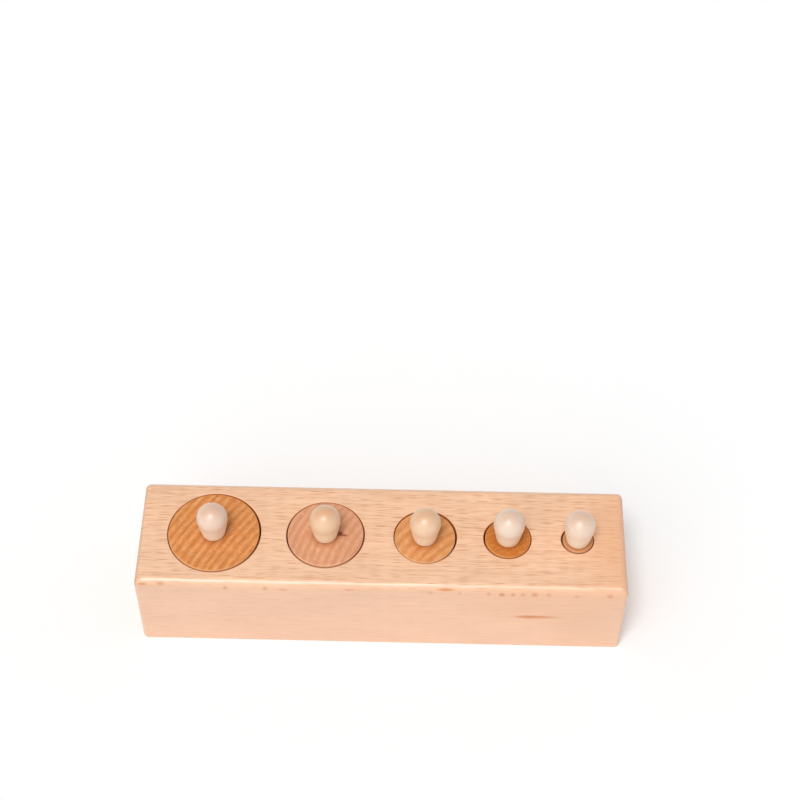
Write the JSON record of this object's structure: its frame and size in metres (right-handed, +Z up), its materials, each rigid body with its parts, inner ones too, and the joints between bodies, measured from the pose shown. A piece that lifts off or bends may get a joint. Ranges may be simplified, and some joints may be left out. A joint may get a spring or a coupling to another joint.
{
  "type": "knobbed cylinder block",
  "caption": "Rounded wooden block with a row of graded round sockets, each holding a loose cylinder that lifts out by a turned ball knob.",
  "frame": {"origin": "middle of the block's underside", "axes": "+X along the row from the largest cylinder to the smallest, +Y to the back, +Z up out of the sockets"},
  "size_m": [0.16, 0.04, 0.0481],
  "materials": {
    "block_beech": "satin lacquer",
    "cylinder_end_grain": "satin lacquer",
    "knob_pale_wood": "semi-gloss lacquer"
  },
  "bodies": {
    "block": {"socket_block": "block_beech"},
    "insert_1": {"cylinder_1": "cylinder_end_grain", "knob_1": "knob_pale_wood"},
    "insert_2": {"cylinder_2": "cylinder_end_grain", "knob_2": "knob_pale_wood"},
    "insert_3": {"cylinder_3": "cylinder_end_grain", "knob_3": "knob_pale_wood"},
    "insert_4": {"cylinder_4": "cylinder_end_grain", "knob_4": "knob_pale_wood"},
    "insert_5": {"cylinder_5": "cylinder_end_grain", "knob_5": "knob_pale_wood"}
  },
  "joints": [
    {"name": "lift_1", "type": "slide", "parent": "block", "child": "insert_1", "axis": [0, 0, 1], "range_m": [0, 0.035]},
    {"name": "lift_2", "type": "slide", "parent": "block", "child": "insert_2", "axis": [0, 0, 1], "range_m": [0, 0.035]},
    {"name": "lift_3", "type": "slide", "parent": "block", "child": "insert_3", "axis": [0, 0, 1], "range_m": [0, 0.035]},
    {"name": "lift_4", "type": "slide", "parent": "block", "child": "insert_4", "axis": [0, 0, 1], "range_m": [0, 0.035]},
    {"name": "lift_5", "type": "slide", "parent": "block", "child": "insert_5", "axis": [0, 0, 1], "range_m": [0, 0.035]}
  ]
}
